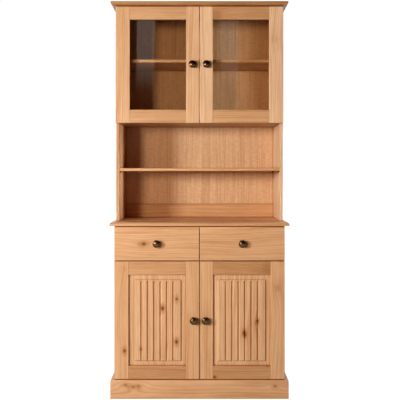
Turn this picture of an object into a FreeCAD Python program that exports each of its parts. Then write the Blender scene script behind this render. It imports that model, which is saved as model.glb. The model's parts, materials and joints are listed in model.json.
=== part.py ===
import FreeCAD, Part
import os
import re

import Sketcher

# A two-part pine dresser: a base with drawers and doors, and a hutch with glazed doors standing on it.
# Millimetres, +Z up, the front faces -Y, the origin lies on the floor under the middle of the whole.

DIMENSIONS = [
    # The whole and its boards
    ("overall_height", 2000, "floor to the top of the cornice"),
    ("counter_width", 900, "length of the counter and of the cornice"),
    ("counter_depth", 400, "front to back of the counter"),
    ("counter_height", 883, "floor to the top of the counter"),
    ("side_board", 16, "thickness of the four upright sides"),
    ("panel_board", 16, "thickness of floors, deck, partition and rails"),
    ("shelf_board", 15, "thickness of the three shelves"),
    ("back_board", 6, "thickness of the plywood backs"),
    ("back_inset", 4, "from the rear edges of the sides to the plywood backs"),
    ("back_groove", 6, "how deep the backs sit in the sides"),
    ("edge_ease", 2, "rounding of the edges a hand can touch"),
    ("swing_ease", 2.8, "rounding of the door edge that turns past the carcass"),
    # Counter and cornice
    ("counter_board", 18, "thickness of the counter"),
    ("side_overhang", 22.5, "how far counter and cornice stand out beyond each side"),
    ("counter_lip", 15, "how far the counter stands ahead of the drawer faces"),
    ("counter_rail_wide", 70, "front to back of the two rails under the counter"),
    ("cornice_depth", 354, "front to back of the cornice"),
    ("cornice_board", 18, "thickness of the cornice"),
    ("edge_round", 12, "radius of the moulded edge of counter and cornice"),
    # Plinth
    ("plinth_height", 93, "floor to the top of the plinth"),
    ("plinth_board", 19, "thickness of the plinth boards"),
    ("plinth_proud", 7, "how far the plinth stands ahead of the door faces"),
    ("plinth_round", 5, "rounding of the top outer edge of the plinth"),
    ("plinth_block", 40, "size of the blocks that tie the front plinth to the sides"),
    # Gaps round the fronts
    ("front_board", 19, "thickness of doors and drawer fronts"),
    ("door_gap", 3, "between a front and the carcass behind it"),
    ("pair_gap", 3, "between the two fronts of a pair"),
    ("front_reveal", 4, "between a drawer front and the door below it"),
    ("counter_reveal", 5, "between the counter and a drawer front"),
    ("plinth_reveal", 3, "between the plinth and a base door"),
    ("cornice_reveal", 2, "between the cornice and a glazed door"),
    # Door frames
    ("hinge_stile", 72, "width of the upright frame piece that carries the hinges"),
    ("lock_stile", 67, "width of the upright frame piece that carries the knob"),
    ("rail_width", 67, "width of a door's level frame pieces"),
    ("frame_groove", 10, "depth of the groove that holds a wooden panel"),
    ("groove_board", 6, "width of that groove"),
    ("panel_set", 9, "from the door face to the groove"),
    ("panel_play", 2, "room at the bottom of the groove for the panel to swell"),
    ("panel_border", 27, "from the frame to the raised field"),
    ("step_set", 7.5, "from the door face to the foot of the raised field"),
    ("step_run", 6, "width of the slope round the raised field"),
    ("field_set", 2, "from the door face to the raised field"),
    ("flute_share", 0.1375, "spacing of the grooves, as a part of the field's width"),
    ("flute_wide", 11, "width of one groove"),
    ("flute_deep", 5, "depth of one groove"),
    ("rebate_wide", 8, "width of the ledge that holds the glass"),
    ("rebate_deep", 9, "depth of that ledge from the back of the door"),
    ("glass_board", 4, "thickness of the glass"),
    ("glass_play", 1, "room between the edge of the glass and the frame"),
    ("tenon_long", 25, "length of a glazed door's tenons"),
    ("tenon_board", 5, "thickness of those tenons"),
    ("tenon_set", 3, "from the door face to the tenon"),
    ("tenon_shoulder", 12, "from the edges of a rail to its tenon"),
    # Drawers
    ("drawer_front_height", 169, "height of a drawer front"),
    ("drawer_board", 12, "thickness of drawer sides and back"),
    ("drawer_gap", 1.5, "between a drawer side and the carcass"),
    ("drawer_rise", 5, "from the deck to the underside of a drawer box"),
    ("drawer_box_height", 130, "height of a drawer box"),
    ("drawer_box_depth", 325, "length of a drawer side"),
    ("bottom_board", 4, "thickness of a drawer bottom"),
    ("bottom_rise", 8, "from the underside of the drawer box to its bottom"),
    ("bottom_bite", 6, "how deep the bottom sits in front and sides"),
    ("runner_wide", 8, "how far a runner stands off the carcass"),
    ("runner_high", 16, "height of a runner"),
    ("runner_rise", 58, "from the underside of the drawer box to the runner"),
    ("runner_start", 22, "from the carcass front to the runner"),
    ("runner_slack", 0.3, "room round a runner in its groove"),
    ("runner_groove", 7, "depth of the groove in a drawer side"),
    # Hutch
    ("hutch_depth", 307, "front to back of the hutch sides"),
    ("open_bay_share", 0.45, "height of the open bay, as a part of the hutch's height"),
    ("glass_shelf_share", 0.515, "height of the shelf behind the glass, as a part of its cabinet's room"),
    ("glass_shelf_back", 20, "how far that shelf stands behind the hutch front"),
    ("open_shelf_share", 0.51, "height of the open shelf, as a part of the open bay"),
    ("open_shelf_back", 1, "how far the open shelf stands behind the hutch front"),
    ("base_shelf_share", 0.485, "height of the shelf in the base, as a part of the room there"),
    ("base_shelf_back", 75, "how far that shelf stands behind the base front"),
    ("shelf_play", 1, "room between a shelf and the side or back beside it"),
    ("back_rail_height", 72, "height of the rail above the counter at the back"),
    # Shelf pins and dowels
    ("peg_radius", 3.5, "the part of a shelf pin that carries the shelf"),
    ("peg_long", 9, "how far a shelf pin stands out of the side"),
    ("shank_radius", 2.5, "the part of a shelf pin inside the side"),
    ("shank_long", 10, "how deep a shelf pin sits in the side"),
    ("peg_front", 25, "from the front of a shelf to its front pins"),
    ("peg_rear", 34, "from the back panel to the rear pins"),
    ("dowel_radius", 4, "wooden dowels between sides and boards"),
    ("dowel_deep", 25, "how deep a dowel sits in a side"),
    ("dowel_bite", 8, "how deep a dowel sits in the counter or cornice"),
    ("dowel_inset", 60, "from the edges of a side to its dowels"),
    # Hinges
    ("hinge_inset", 90, "from the ends of a door to its hinges"),
    ("cup_radius", 17.5, "hinge cup in the back of the door"),
    ("cup_edge", 3, "from the edge of the door to the cup"),
    ("cup_deep", 13, "depth of the cup in the door"),
    ("cup_wall", 1, "thickness of the cup"),
    ("cup_rim", 0.6, "how far the cup stands out of the door"),
    ("ear_half_wide", 8.5, "half the width of the plate that holds the cup"),
    ("ear_half_high", 29, "half the height of that plate"),
    ("ear_board", 1.2, "thickness of that plate"),
    ("pivot_edge", 9, "from the edge of the door to the hinge axis"),
    ("pivot_ahead", 12, "from the carcass front to the hinge axis"),
    ("pivot_radius", 1.5, "hinge pin"),
    ("pivot_slack", 0.06, "room round the hinge pin in the arm"),
    ("lug_near", 7, "from the middle of the hinge to the lugs that hold the pin"),
    ("lug_far", 9.5, "from the middle of the hinge to the ends of the pin"),
    ("lug_half", 2.5, "half the width of a lug"),
    ("eye_radius", 2.6, "outside of the arm round the pin"),
    ("arm_half_high", 6.7, "half the height of the arm"),
    ("arm_board", 4, "thickness of the arm"),
    ("arm_reach", 13.5, "from the hinge axis to the middle of the arm"),
    ("arm_long", 62, "from the carcass front to the rear end of the arm"),
    ("plate_start", 24, "from the carcass front to the mounting plate"),
    ("plate_half_high", 22, "half the height of the mounting plate"),
    # Catches
    ("catch_inset", 42, "from the middle of the cabinet to a catch"),
    ("catch_wide", 46, "length of a catch"),
    ("catch_high", 12, "height of a catch"),
    ("catch_deep", 14, "front to back of a catch"),
    ("catch_ahead", 1.5, "how far a catch stands ahead of the carcass"),
    ("strike_board", 1, "thickness of the strike on the door"),
    ("strike_drop", 2, "from the top of a glazed door to its strike"),
    # Knobs
    ("knob_width", 39, "diameter of a knob"),
    ("knob_reach", 27, "how far a knob stands out"),
    ("foot_radius", 9, "foot of a knob against the wood"),
    ("foot_high", 3, "thickness of the foot"),
    ("neck_radius", 7, "neck of a knob at its foot"),
    ("neck_waist", 5.5, "neck of a knob under its head"),
    ("neck_high", 11, "length of the neck"),
    ("rim_round", 4, "rounding of the edge of the head"),
    ("dome_radius", 14, "raised middle of the head"),
    ("glass_knob_inset", 34, "from the edge of a glazed door to its knob"),
    ("base_knob_inset", 28, "from the edge of a base door to its knob"),
    ("bolt_radius", 2, "bolt that holds a knob"),
    ("bolt_bite", 10, "how deep the bolt sits in the knob"),
    ("bolt_head_radius", 4, "head of the bolt"),
    ("bolt_head_high", 2.4, "thickness of that head"),
]

# Places along X, outwards from the middle
OUTER = "(counter_width / 2 - side_overhang)"
INNER = f"({OUTER} - side_board)"
LOCK_EDGE = "(pair_gap / 2)"
LOCK_SIGHT = f"({LOCK_EDGE} + lock_stile)"
HINGE_SIGHT = f"({OUTER} - hinge_stile)"
PARTITION = "(panel_board / 2)"

# Places along Y, from the back of the cabinet
BACK = "((counter_depth - counter_lip + knob_reach) / 2)"
BACK_FACE = f"({BACK} - back_inset - back_board)"
FRONT_FACE = f"({BACK} - counter_depth + counter_lip)"
BASE_FRONT = f"({FRONT_FACE} + front_board + door_gap)"
HUTCH_FRONT = f"({BACK} - hutch_depth)"
GLASS_FACE = f"({HUTCH_FRONT} - door_gap - front_board)"
PLINTH_FACE = f"({FRONT_FACE} - plinth_proud)"

# Places along Z, from the floor
DOOR_LOW = "(plinth_height + plinth_reveal)"
COUNTER_UNDER = "(counter_height - counter_board)"
RAIL_UNDER = f"({COUNTER_UNDER} - panel_board)"
DRAWER_HIGH = f"({COUNTER_UNDER} - counter_reveal)"
DRAWER_LOW = f"({DRAWER_HIGH} - drawer_front_height)"
DOOR_HIGH = f"({DRAWER_LOW} - front_reveal)"
DECK_TOP = f"({DRAWER_LOW} - front_reveal / 2 + panel_board / 2)"
DECK_UNDER = f"({DECK_TOP} - panel_board)"
BOX_LOW = f"({DECK_TOP} + drawer_rise)"
BASE_FLOOR_TOP = "(plinth_height + panel_board)"
BASE_SHELF_UNDER = f"({BASE_FLOOR_TOP} + base_shelf_share * ({DECK_UNDER} - {BASE_FLOOR_TOP}))"
CORNICE_UNDER = "(overall_height - cornice_board)"
OPEN_BAY = "(open_bay_share * (overall_height - counter_height))"
OPEN_SHELF_UNDER = f"(counter_height + open_shelf_share * {OPEN_BAY})"
GLASS_LOW = f"(counter_height + {OPEN_BAY})"
GLASS_HIGH = f"({CORNICE_UNDER} - cornice_reveal)"
GLASS_FLOOR_TOP = f"({GLASS_LOW} + panel_board)"
GLASS_SHELF_UNDER = f"({GLASS_FLOOR_TOP} + glass_shelf_share * ({CORNICE_UNDER} - {GLASS_FLOOR_TOP}))"

HANDS = {"left": -1, "right": 1}
FLUTE_COUNT = 6
SAME_PLACE = 0.001
ALIAS = re.compile(r"[a-z][a-z_]*")

doc = FreeCAD.newDocument("buffet_cabinet")
sheet = doc.addObject("Spreadsheet::Sheet", "Dims")
for row, (alias, value, meaning) in enumerate(DIMENSIONS, 1):
    sheet.set(f"A{row}", meaning)
    sheet.set(f"B{row}", str(value))
    sheet.setAlias(f"B{row}", alias)
doc.recompute()

nodes = []


# Small helpers: binding sizes, plain shapes and ways to combine them

def spelled(formula):
    """A formula with the sheet's name before every alias."""
    return ALIAS.sub(r"Dims.\g<0>", formula)


def bind(thing, size, formula):
    """Tie one size of an object to the sheet."""
    thing.setExpression(size, spelled(formula))


def place(thing, x, y, z):
    """Tie the place of an object to the sheet."""
    for axis, formula in zip("xyz", (x, y, z)):
        bind(thing, f"Placement.Base.{axis}", formula)


def across(hand, inner, outer):
    """The X range between two distances from the middle, on the left or right half."""
    if hand > 0:
        return inner, outer
    return f"-({outer})", f"-({inner})"


def middle(low, high):
    return f"(({low} + {high}) / 2)"


def about(centre, half):
    """The range that reaches the same way to both sides of a centre."""
    return f"({centre} - {half})", f"({centre} + {half})"


def block(name, x, y, z):
    """A box between a low and a high place along each axis."""
    box = doc.addObject("Part::Box", name)
    for size, (low, high) in zip(("Length", "Width", "Height"), (x, y, z)):
        bind(box, size, f"({high}) - ({low})")
    place(box, x[0], y[0], z[0])
    return box


def turned(kind, name, axis):
    """A round primitive whose own axis points along +X, -Y or +Z."""
    turns = {"x": ((0, 1, 0), 90), "-y": ((1, 0, 0), 90), "z": ((0, 0, 1), 0)}
    direction, degrees = turns[axis]
    thing = doc.addObject(kind, name)
    rotation = FreeCAD.Rotation(FreeCAD.Vector(*direction), degrees)
    thing.Placement = FreeCAD.Placement(FreeCAD.Vector(), rotation)
    return thing


def rod(name, axis, radius, x, y, z):
    """A cylinder; the place along its own axis is a (low, high) range."""
    cylinder = turned("Part::Cylinder", name, axis)
    low, high = {"x": x, "-y": y, "z": z}[axis]
    bind(cylinder, "Radius", radius)
    bind(cylinder, "Height", f"({high}) - ({low})")
    start = {"x": (low, y, z), "-y": (x, high, z), "z": (x, y, low)}[axis]
    place(cylinder, *start)
    return cylinder


def frustum(name, front, back):
    """A tapered block between two upright rectangles, each given as an X range, a Y and a Z range."""
    wedge = doc.addObject("Part::Wedge", name)
    for mark, (x, y, z) in (("", front), ("2", back)):
        for axis, (low, high) in (("X", x), ("Z", z)):
            bind(wedge, f"{axis}{mark}min", low)
            bind(wedge, f"{axis}{mark}max", high)
    bind(wedge, "Ymin", front[1])
    bind(wedge, "Ymax", back[1])
    return wedge


def join(name, pieces):
    fused = doc.addObject("Part::MultiFuse", name)
    fused.Shapes = pieces
    return fused


def cut(name, base, tools):
    """Take every tool away from a base."""
    result = doc.addObject("Part::Cut", name)
    result.Base = base
    result.Tool = tools[0] if len(tools) == 1 else join(f"{name}_tools", tools)
    return result


def node(thing):
    """Keep an object as one of the finished sub-parts."""
    nodes.append(thing)
    return thing


def group(name, pieces):
    """Like pieces that share one sub-part, as separate solids."""
    compound = doc.addObject("Part::Compound", name)
    compound.Links = pieces
    return node(compound)


def level(edge, axis, place_at):
    """True for a straight edge that lies wholly at one place along an axis."""
    box = edge.BoundBox
    ends = (getattr(box, f"{axis}Min"), getattr(box, f"{axis}Max"))
    return max(abs(end - place_at) for end in ends) < SAME_PLACE


def along(edge, axis):
    """True for an edge that runs mainly along an axis."""
    box = edge.BoundBox
    sizes = {"X": box.XLength, "Y": box.YLength, "Z": box.ZLength}
    return max(sizes, key=sizes.get) == axis


def eased(name, board, directions):
    """Round the front edges of a board that run in the given directions."""
    doc.recompute()
    front = board.Shape.BoundBox.YMin
    rounded = doc.addObject("Part::Fillet", name)
    rounded.Base = board
    rounded.Edges = [
        (number, sheet.edge_ease, sheet.edge_ease)
        for number, edge in enumerate(board.Shape.Edges, 1)
        if level(edge, "Y", front) and any(along(edge, axis) for axis in directions)
    ]
    return rounded


def clearing(name, board, hand):
    """Round the rear outer edge of a hinge stile, so that it swings clear of the carcass."""
    doc.recompute()
    box = board.Shape.BoundBox
    outside = box.XMax if hand > 0 else box.XMin
    rounded = doc.addObject("Part::Fillet", name)
    rounded.Base = board
    rounded.Edges = [
        (number, sheet.swing_ease, sheet.swing_ease)
        for number, edge in enumerate(board.Shape.Edges, 1)
        if level(edge, "Y", box.YMax) and level(edge, "X", outside)
    ]
    return rounded


def stile_board(name, hand, stile, face, z):
    """A door's upright frame piece before it is worked."""
    x = stile_ranges(hand)[stile]
    board = block(f"{name}_board", x, (face, f"({face} + front_board)"), z)
    smooth = eased(f"{name}_eased", board, "XZ")
    if stile == "hinge":
        return clearing(f"{name}_cleared", smooth, hand)
    return smooth


def outline(body, corners):
    """A closed sketch in plan, each corner tied to the sheet."""
    sketch = body.newObject("Sketcher::SketchObject", f"{body.Name}_plan")
    plane = [feature for feature in body.Origin.OriginFeatures if feature.Role == "XY_Plane"][0]
    sketch.AttachmentSupport = (plane, [""])
    sketch.MapMode = "FlatFace"
    points = [
        FreeCAD.Vector(*(sheet.evalExpression(spelled(formula)) for formula in corner))
        for corner in corners
    ]
    count = len(points)
    for index, point in enumerate(points):
        sketch.addGeometry(Part.LineSegment(point, points[(index + 1) % count]))
    for index, corner in enumerate(corners):
        sketch.addConstraint(Sketcher.Constraint("Coincident", index, 2, (index + 1) % count, 1))
        for kind, formula, guess in zip(("DistanceX", "DistanceY"), corner, points[index]):
            number = sketch.addConstraint(Sketcher.Constraint(kind, -1, 1, index, 1, guess))
            bind(sketch, f"Constraints[{number}]", formula)
    return sketch


def slab(name, corners, low, thickness, radius, rounds):
    """A board drawn in plan and padded upwards, with the edges picked by a test rounded."""
    body = doc.addObject("PartDesign::Body", name)
    sketch = outline(body, corners)
    pad = body.newObject("PartDesign::Pad", f"{name}_pad")
    pad.Profile = sketch
    bind(pad, "Length", thickness)
    place(body, "0", "0", low)
    doc.recompute()
    fillet = body.newObject("PartDesign::Fillet", f"{name}_round")
    edges = [f"Edge{number}" for number, edge in enumerate(pad.Shape.Edges, 1) if rounds(edge, pad.Shape)]
    fillet.Base = (pad, edges)
    bind(fillet, "Radius", radius)
    return body


# Knobs, each with the bolt that holds it

def bolt(name, x, face, z):
    """A bolt from inside the knob to its head behind the wood."""
    rear = f"({face} + front_board)"
    shank = rod(f"{name}_shank", "-y", "bolt_radius", x, (f"({face} - bolt_bite)", rear), z)
    head = rod(f"{name}_head", "-y", "bolt_head_radius", x, (rear, f"({rear} + bolt_head_high)"), z)
    return join(name, [shank, head])


def knob(name, x, face, z):
    """A turned metal knob with a rounded rim and a raised middle, and its bolt; the bolt is given back."""
    neck_end = f"({face} - foot_high - neck_high)"
    rim_middle = f"({neck_end} - rim_round)"
    head_end = f"({neck_end} - 2 * rim_round)"
    rim_radius = "(knob_width / 2 - rim_round)"
    foot = rod(f"{name}_foot", "-y", "foot_radius", x, (f"({face} - foot_high)", face), z)
    disc = rod(f"{name}_disc", "-y", rim_radius, x, (head_end, neck_end), z)
    neck = turned("Part::Cone", f"{name}_neck", "-y")
    bind(neck, "Radius1", "neck_radius")
    bind(neck, "Radius2", "neck_waist")
    bind(neck, "Height", "foot_high + neck_high")
    place(neck, x, face, z)
    rim = turned("Part::Torus", f"{name}_rim", "-y")
    bind(rim, "Radius1", rim_radius)
    bind(rim, "Radius2", "rim_round")
    place(rim, x, rim_middle, z)
    dome = turned("Part::Ellipsoid", f"{name}_dome", "-y")
    bind(dome, "Radius1", f"knob_reach - ({face} - {head_end})")
    bind(dome, "Radius2", "dome_radius")
    bind(dome, "Radius3", "dome_radius")
    place(dome, x, head_end, z)
    fixing = bolt(f"{name}_bolt", x, face, z)
    turned_knob = cut(f"{name}_turned", join(f"{name}_solid", [foot, neck, disc, rim, dome]), [fixing])
    group(name, [turned_knob, fixing])
    return fixing


# Hinges: the cup and pin sit in the door, the arm and its plate on the carcass

PIVOT_X = f"({OUTER} - pivot_edge)"
CUP_X = f"({OUTER} - cup_edge - cup_radius)"
ARM_X = f"({PIVOT_X} - arm_reach)"


def hinge_bore(name, hand, face, z):
    """The hole for a cup in the back of a door."""
    rear = f"({face} + front_board)"
    depths = (f"({rear} - cup_deep)", f"({rear} + ear_board)")
    return rod(name, "-y", "cup_radius", f"{hand} * {CUP_X}", depths, z)


def hinge_cup(name, hand, face, z):
    """The cup with its fixing plate and two lugs, and the pin between the lugs."""
    rear = f"({face} + front_board)"
    floor = f"({rear} - cup_deep)"
    hollow_floor = f"({floor} + cup_wall)"
    pivot_y = f"({rear} + door_gap - pivot_ahead)"
    cup_x, pivot_x = f"{hand} * {CUP_X}", f"{hand} * {PIVOT_X}"
    drum = rod(f"{name}_drum", "-y", "cup_radius", cup_x, (floor, f"({rear} + cup_rim)"), z)
    hollow_depths = (hollow_floor, f"({rear} + 2 * ear_board)")
    hollow = rod(f"{name}_hollow", "-y", "cup_radius - cup_wall", cup_x, hollow_depths, z)
    ears_x = across(hand, *about(CUP_X, "ear_half_wide"))
    ears = block(f"{name}_ears", ears_x, (rear, f"({rear} + ear_board)"), about(z, "ear_half_high"))
    shell = cut(f"{name}_shell", join(f"{name}_solid", [drum, ears]), [hollow])
    lug_x = across(hand, *about(PIVOT_X, "lug_half"))
    lug_y = (hollow_floor, f"({pivot_y} + lug_half)")
    lugs = [
        block(f"{name}_lug_{end}", lug_x, lug_y, heights)
        for end, heights in (
            ("low", (f"({z} - lug_far)", f"({z} - lug_near)")),
            ("high", (f"({z} + lug_near)", f"({z} + lug_far)")),
        )
    ]
    pin = rod(f"{name}_pin", "z", "pivot_radius", pivot_x, pivot_y, about(z, "lug_far"))
    return [cut(f"{name}_body", join(f"{name}_lugged", [shell, *lugs]), [pin]), pin]


def hinge_arm(name, hand, edge, z):
    """The bent arm from its eye round the pin to the mounting plate."""
    pivot_y = f"({edge} - pivot_ahead)"
    pivot_x = f"{hand} * {PIVOT_X}"
    heights = about(z, "arm_half_high")
    eye = rod(f"{name}_eye", "z", "eye_radius", pivot_x, pivot_y, heights)
    neck_x = across(hand, f"({ARM_X} - arm_board / 2)", PIVOT_X)
    neck = block(f"{name}_neck", neck_x, about(pivot_y, "arm_board / 2"), heights)
    shank_x = across(hand, *about(ARM_X, "arm_board / 2"))
    shank_y = (f"({pivot_y} - arm_board / 2)", f"({edge} + arm_long)")
    shank = block(f"{name}_shank", shank_x, shank_y, heights)
    bore = rod(f"{name}_bore", "z", "pivot_radius + pivot_slack", pivot_x, pivot_y, about(z, "lug_far"))
    return cut(name, join(f"{name}_solid", [eye, neck, shank]), [bore])


def hinge_plate(name, hand, edge, z):
    """The plate between a side board and the arm."""
    thick = across(hand, f"({ARM_X} + arm_board / 2)", INNER)
    depth = (f"({edge} + plate_start)", f"({edge} + arm_long)")
    return block(name, thick, depth, about(z, "plate_half_high"))


def hinge_heights(low, high):
    return {"lower": f"({low} + hinge_inset)", "upper": f"({high} - hinge_inset)"}


# Doors: what the glazed and the wooden ones share

def door_fittings(name, hand, face, heights, strike_z):
    """Hinge cups with their pins, and the strike for the catch, behind a door."""
    pieces = []
    for end, z in heights.items():
        pieces += hinge_cup(f"{name}_{end}_cup", hand, face, z)
    rear = f"({face} + front_board)"
    strike_x = across(hand, "catch_inset", "(catch_inset + catch_wide)")
    pieces.append(block(f"{name}_strike", strike_x, (rear, f"({rear} + strike_board)"), strike_z))
    group(f"{name}_fittings", pieces)


def stile_ranges(hand):
    return {
        "hinge": across(hand, HINGE_SIGHT, OUTER),
        "lock": across(hand, LOCK_EDGE, LOCK_SIGHT),
    }


def rail_ranges(low, high):
    return {
        "lower": (low, f"({low} + rail_width)"),
        "upper": (f"({high} - rail_width)", high),
    }


# Glazed doors

def glazed_rail(name, hand, face, end, z):
    """A rail with a glass ledge along its inner edge and tenons at its ends; the tenons come back too."""
    ledge = f"({face} + front_board - rebate_deep)"
    rear = f"({face} + front_board)"
    behind = {"lower": (z[0], f"({z[1]} - rebate_wide)"), "upper": (f"({z[0]} + rebate_wide)", z[1])}[end]
    front_board = block(f"{name}_board", across(hand, LOCK_SIGHT, HINGE_SIGHT), (face, ledge), z)
    front_part = eased(f"{name}_front", front_board, "X")
    shoulder_x = across(hand, f"({LOCK_SIGHT} - rebate_wide)", f"({HINGE_SIGHT} + rebate_wide)")
    rear_part = block(f"{name}_rear", shoulder_x, (ledge, rear), behind)
    tenon_x = across(hand, f"({LOCK_SIGHT} - tenon_long)", f"({HINGE_SIGHT} + tenon_long)")
    tenon_y = (f"({face} + tenon_set)", f"({face} + tenon_set + tenon_board)")
    tenon_z = (f"({z[0]} + tenon_shoulder)", f"({z[1]} - tenon_shoulder)")
    tenons = block(f"{name}_tenons", tenon_x, tenon_y, tenon_z)
    return join(name, [front_part, rear_part, tenons]), tenons


def glazing_beads(name, hand, face, low, high):
    """Four strips that hold the glass against its ledge."""
    depth = (f"({face} + front_board - rebate_deep + glass_board)", f"({face} + front_board)")
    sight_low, sight_high = f"({low} + rail_width)", f"({high} - rail_width)"
    far_x = across(hand, f"({LOCK_SIGHT} - rebate_wide)", f"({HINGE_SIGHT} + rebate_wide)")
    sides = {
        "lock": (across(hand, f"({LOCK_SIGHT} - rebate_wide)", LOCK_SIGHT), (sight_low, sight_high)),
        "hinge": (across(hand, HINGE_SIGHT, f"({HINGE_SIGHT} + rebate_wide)"), (sight_low, sight_high)),
        "lower": (far_x, (f"({sight_low} - rebate_wide)", sight_low)),
        "upper": (far_x, (sight_high, f"({sight_high} + rebate_wide)")),
    }
    group(name, [block(f"{name}_{side}", x, depth, z) for side, (x, z) in sides.items()])


def glazed_door(side, hand):
    """Stiles, rails, glass, beads, knob and fittings of one glazed door."""
    name, face, low, high = f"{side}_glass_door", GLASS_FACE, GLASS_LOW, GLASS_HIGH
    rear = f"({face} + front_board)"
    ledge = f"({face} + front_board - rebate_deep)"
    rails = {
        end: glazed_rail(f"{name}_{end}_rail", hand, face, end, z)
        for end, z in rail_ranges(low, high).items()
    }
    group(f"{name}_rails", [rail for rail, tenons in rails.values()])
    tenons = [tenons for rail, tenons in rails.values()]
    heights = hinge_heights(low, high)
    bores = [hinge_bore(f"{name}_{end}_bore", hand, face, z) for end, z in heights.items()]
    fixing = knob(f"{name}_knob", f"{hand} * ({LOCK_EDGE} + glass_knob_inset)", face, middle(low, high))
    ledges = {
        "hinge": across(hand, HINGE_SIGHT, f"({HINGE_SIGHT} + rebate_wide)"),
        "lock": across(hand, f"({LOCK_SIGHT} - rebate_wide)", LOCK_SIGHT),
    }
    holes = {"hinge": bores, "lock": [fixing]}
    stiles = []
    for stile in ledges:
        board = stile_board(f"{name}_{stile}_stile", hand, stile, face, (low, high))
        rebate = block(f"{name}_{stile}_ledge", ledges[stile], (ledge, rear), (low, high))
        stiles.append(cut(f"{name}_{stile}_stile", board, [rebate, *tenons, *holes[stile]]))
    group(f"{name}_stiles", stiles)
    pane_x = across(
        hand,
        f"({LOCK_SIGHT} - rebate_wide + glass_play)",
        f"({HINGE_SIGHT} + rebate_wide - glass_play)",
    )
    pane_z = (
        f"({low} + rail_width - rebate_wide + glass_play)",
        f"({high} - rail_width + rebate_wide - glass_play)",
    )
    node(block(f"{name}_glass", pane_x, (ledge, f"({ledge} + glass_board)"), pane_z))
    glazing_beads(f"{name}_glazing_beads", hand, face, low, high)
    strike_z = (f"({CORNICE_UNDER} - catch_high)", f"({high} - strike_drop)")
    door_fittings(name, hand, face, heights, strike_z)


# Wooden doors

def framed_rail(name, hand, face, end, z):
    """A rail with a panel groove along its inner edge and a tongue at each end."""
    groove_y = (f"({face} + panel_set)", f"({face} + panel_set + groove_board)")
    tongue_z, groove_z = {
        "lower": ((z[0], f"({z[1]} - frame_groove)"), (f"({z[1]} - frame_groove)", z[1])),
        "upper": ((f"({z[0]} + frame_groove)", z[1]), (z[0], f"({z[0]} + frame_groove)")),
    }[end]
    board_x = across(hand, LOCK_SIGHT, HINGE_SIGHT)
    board = block(f"{name}_board", board_x, (face, f"({face} + front_board)"), z)
    smooth = eased(f"{name}_eased", board, "X")
    tongue_x = across(hand, f"({LOCK_SIGHT} - frame_groove)", f"({HINGE_SIGHT} + frame_groove)")
    tongues = block(f"{name}_tongues", tongue_x, groove_y, tongue_z)
    groove = block(f"{name}_groove", tongue_x, groove_y, groove_z)
    return cut(name, join(f"{name}_solid", [smooth, tongues]), [groove])


def fluted_panel(name, hand, face, low, high):
    """A panel in the frame's groove: a sloping border, a step and a raised field with upright grooves."""
    sight_z = (f"({low} + rail_width)", f"({high} - rail_width)")
    room = "(frame_groove - panel_play)"
    tongue_y = (f"({face} + panel_set)", f"({face} + panel_set + groove_board)")
    tongue_x = across(hand, f"({LOCK_SIGHT} - {room})", f"({HINGE_SIGHT} + {room})")
    tongue_z = (f"({sight_z[0]} - {room})", f"({sight_z[1]} + {room})")
    tongue = block(f"{name}_tongue", tongue_x, tongue_y, tongue_z)

    def inside(border, depth):
        """A rectangle inside the frame, a border's width from it."""
        x = across(hand, f"({LOCK_SIGHT} + {border})", f"({HINGE_SIGHT} - {border})")
        return x, f"({face} + {depth})", (f"({sight_z[0]} + {border})", f"({sight_z[1]} - {border})")

    step_foot = inside("panel_border - step_run", "step_set")
    slope = frustum(f"{name}_slope", step_foot, inside("0", "panel_set"))
    field = frustum(f"{name}_field", inside("panel_border", "field_set"), step_foot)
    field_x, field_y, field_z = inside("panel_border", "field_set")
    centre = f"({hand} * {middle(LOCK_SIGHT, HINGE_SIGHT)})"
    pitch = f"flute_share * (({field_x[1]}) - ({field_x[0]}))"
    flutes = []
    for index in range(FLUTE_COUNT):
        offset = index - (FLUTE_COUNT - 1) / 2
        line = f"({centre} + {offset} * {pitch})"
        mouth = (about(line, "flute_wide / 2"), field_y, step_foot[2])
        bottom = ((line, line), f"({field_y} + flute_deep)", step_foot[2])
        flutes.append(frustum(f"{name}_flute_{index}", mouth, bottom))
    node(cut(name, join(f"{name}_solid", [tongue, slope, field]), flutes))


def wooden_door(side, hand):
    """Stiles, rails, panel, knob and fittings of one base door."""
    name, face, low, high = f"{side}_base_door", FRONT_FACE, DOOR_LOW, DOOR_HIGH
    heights = hinge_heights(low, high)
    bores = [hinge_bore(f"{name}_{end}_bore", hand, face, z) for end, z in heights.items()]
    fixing = knob(f"{name}_knob", f"{hand} * ({LOCK_EDGE} + base_knob_inset)", face, middle(low, high))
    group(f"{name}_rails", [
        framed_rail(f"{name}_{end}_rail", hand, face, end, z)
        for end, z in rail_ranges(low, high).items()
    ])
    groove_y = (f"({face} + panel_set)", f"({face} + panel_set + groove_board)")
    grooves = {
        "hinge": across(hand, HINGE_SIGHT, f"({HINGE_SIGHT} + frame_groove)"),
        "lock": across(hand, f"({LOCK_SIGHT} - frame_groove)", LOCK_SIGHT),
    }
    holes = {"hinge": bores, "lock": [fixing]}
    stiles = []
    for stile in grooves:
        board = stile_board(f"{name}_{stile}_stile", hand, stile, face, (low, high))
        groove = block(f"{name}_{stile}_groove", grooves[stile], groove_y, (low, high))
        stiles.append(cut(f"{name}_{stile}_stile", board, [groove, *holes[stile]]))
    group(f"{name}_stiles", stiles)
    fluted_panel(f"{name}_panel", hand, face, low, high)
    door_fittings(name, hand, face, heights, (f"({DECK_UNDER} - catch_high)", DECK_UNDER))


# Drawers

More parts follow.
